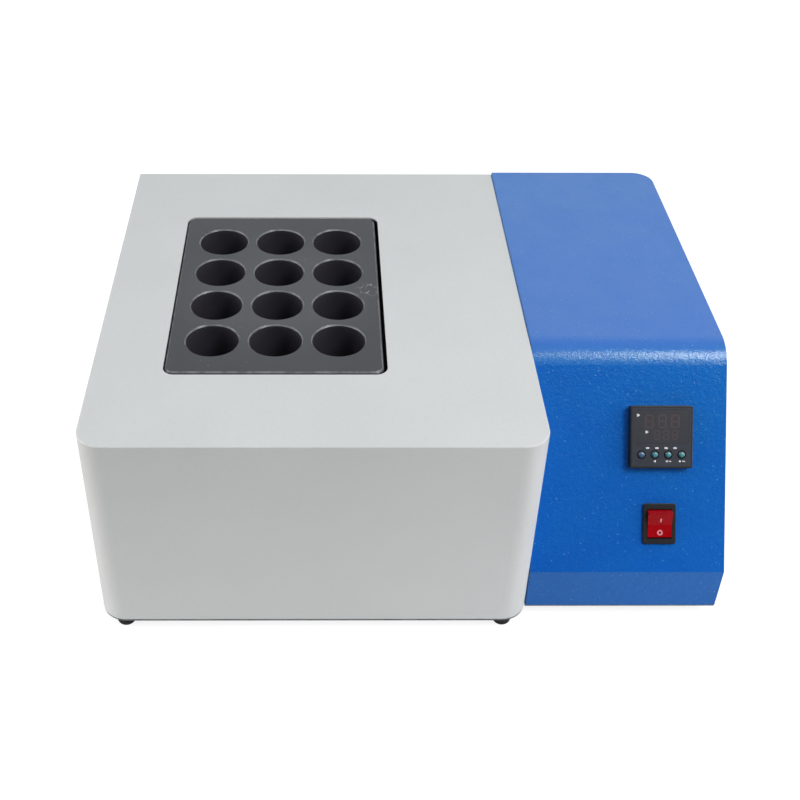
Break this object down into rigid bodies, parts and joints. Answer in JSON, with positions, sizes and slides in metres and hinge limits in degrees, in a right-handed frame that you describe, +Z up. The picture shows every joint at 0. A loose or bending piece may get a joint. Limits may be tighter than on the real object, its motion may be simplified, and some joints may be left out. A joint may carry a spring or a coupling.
{
  "type": "graphite digestion block",
  "caption": "Bench heating block of dark graphite with blind tube wells in a pale sheet steel housing, beside a blue control box with a sloped panel.",
  "frame": {"origin": "on the floor, below the middle of the whole object's box", "axes": "+X to the right as seen from the front, +Y to the back, +Z up"},
  "size_m": [0.4894, 0.4064, 0.1903],
  "materials": {
    "housing_paint": "satin",
    "control_paint": "gloss",
    "zinc_plate": "satin",
    "stainless": "satin",
    "screw_steel": "satin",
    "graphite": "satin",
    "ceramic_fibre": "matte",
    "brass": "satin",
    "rubber": "matte",
    "black_plastic": "matte",
    "controller_face": "satin",
    "display_window": "gloss",
    "display_module": "matte",
    "key_plastic": "gloss",
    "rocker_plastic": "gloss",
    "circuit_board": "satin",
    "heatsink": "satin",
    "relay_plastic": "satin",
    "terminal_plastic": "satin",
    "lead_insulation": "satin"
  },
  "bodies": {
    "root": {"housing_cover": "housing_paint", "housing_back_panel": "housing_paint", "base_plate": "zinc_plate", "graphite_block": "graphite", "graphite_floor": "graphite", "block_screws": "screw_steel", "heater_plate": "stainless", "heater_studs": "brass", "block_posts": "stainless", "post_screws": "screw_steel", "bottom_insulation": "ceramic_fibre", "inner_liner": "stainless", "left_insulation": "ceramic_fibre", "right_insulation": "ceramic_fibre", "front_insulation": "ceramic_fibre", "back_insulation": "ceramic_fibre", "temperature_probe": "stainless", "back_panel_screws": "screw_steel", "housing_side_screws": "screw_steel", "control_side_screws": "screw_steel", "control_cover": "control_paint", "control_base": "zinc_plate", "control_side_plate": "control_paint", "joining_bolts": "screw_steel", "joining_nuts": "screw_steel", "cable_bushing": "rubber", "foot_front_left": "rubber", "foot_front_middle": "rubber", "foot_back_left": "rubber", "foot_back_middle": "rubber", "foot_front_right": "rubber", "foot_back_right": "rubber", "foot_screws": "screw_steel", "controller_bezel": "controller_face", "display_window": "display_window", "display_module": "display_module", "front_board": "circuit_board", "controller_case": "black_plastic", "controller_clamp": "black_plastic", "switch_body": "black_plastic", "switch_blades": "brass", "power_inlet": "black_plastic", "inlet_pins": "brass", "inlet_screws": "screw_steel", "relay_heatsink": "heatsink", "solid_state_relay": "relay_plastic", "terminal_block": "terminal_plastic", "heater_leads": "lead_insulation", "sensor_lead": "lead_insulation", "mains_leads": "lead_insulation"},
    "rocker": {"switch_rocker": "rocker_plastic"},
    "key_1": {"controller_key_1": "key_plastic"},
    "key_2": {"controller_key_2": "key_plastic"},
    "key_3": {"controller_key_3": "key_plastic"},
    "key_4": {"controller_key_4": "key_plastic"}
  },
  "joints": [
    {"name": "rocker_swing", "type": "hinge", "parent": "root", "child": "rocker", "pos_m": [0.1917, -0.1646, 0.07866], "axis": [-1, 0, 0], "range_deg": [0, 20]},
    {"name": "key_1_press", "type": "slide", "parent": "root", "child": "key_1", "axis": [0, 0.809, -0.5878], "range_m": [0, 0.0005], "stiffness_N_per_m": 1500},
    {"name": "key_2_press", "type": "slide", "parent": "root", "child": "key_2", "axis": [0, 0.809, -0.5878], "range_m": [0, 0.0005], "stiffness_N_per_m": 1500},
    {"name": "key_3_press", "type": "slide", "parent": "root", "child": "key_3", "axis": [0, 0.809, -0.5878], "range_m": [0, 0.0005], "stiffness_N_per_m": 1500},
    {"name": "key_4_press", "type": "slide", "parent": "root", "child": "key_4", "axis": [0, 0.809, -0.5878], "range_m": [0, 0.0005], "stiffness_N_per_m": 1500}
  ]
}
